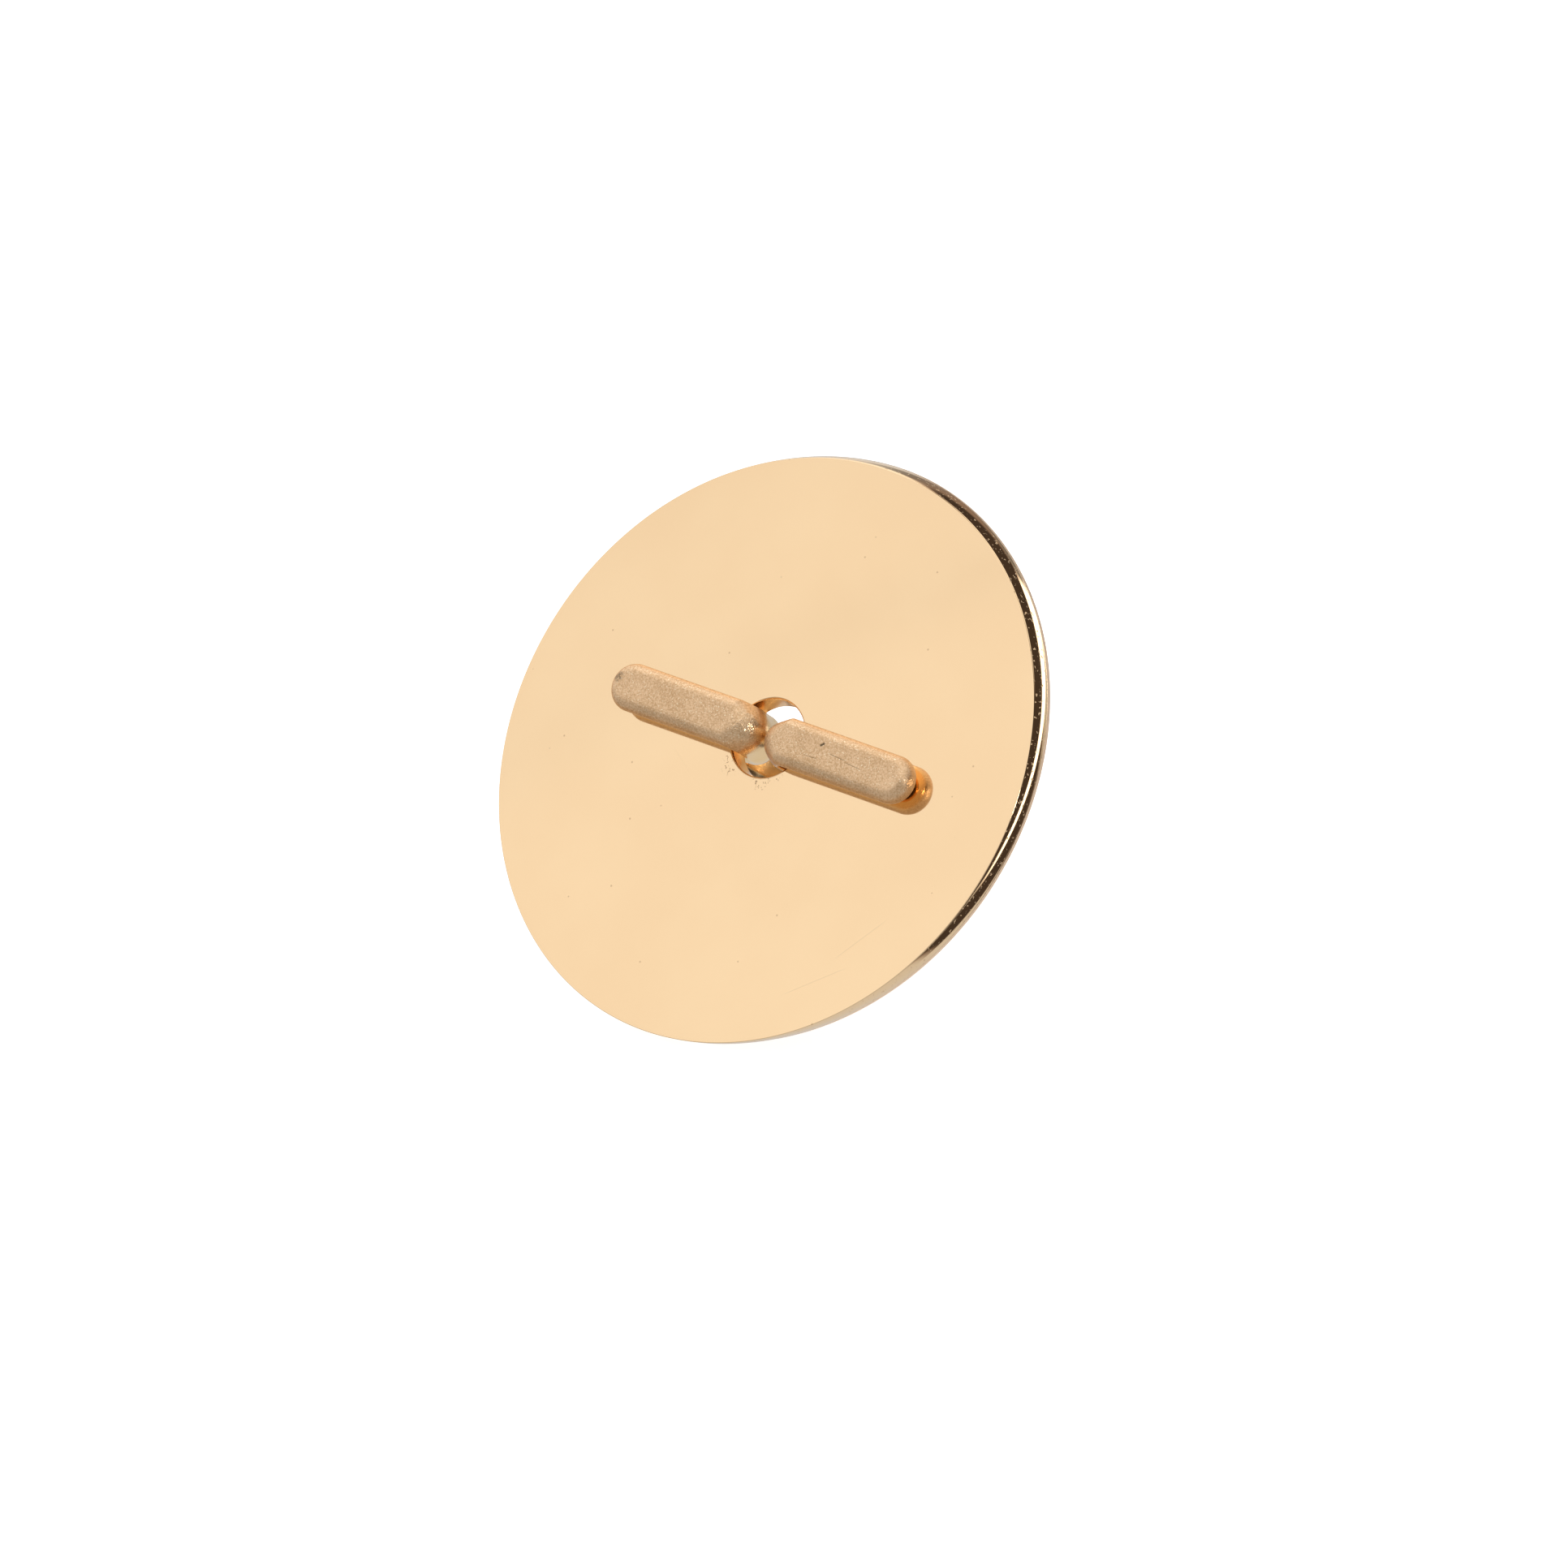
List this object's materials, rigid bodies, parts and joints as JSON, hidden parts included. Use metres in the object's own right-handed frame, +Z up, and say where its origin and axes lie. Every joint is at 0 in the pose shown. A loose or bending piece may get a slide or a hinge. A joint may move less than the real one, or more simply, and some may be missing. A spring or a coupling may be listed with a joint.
{
  "type": "ring",
  "caption": "Statement finger ring: a mirror-polished round disc held by a matt strip band whose ends fold over its face as bars, lying on its side.",
  "frame": {"origin": "on the ground under the middle of the ring's bounding box as it lies on its side", "axes": "+Z up; +X along the two bars, towards the longer one; the polished face looks towards -Y and up"},
  "size_m": [0.042, 0.0322, 0.0311],
  "materials": {
    "polished_gold": "mirror polished",
    "blasted_gold": "matt, sand-blasted"
  },
  "bodies": {
    "root": {"disc": "polished_gold", "band": "blasted_gold"}
  },
  "joints": []
}
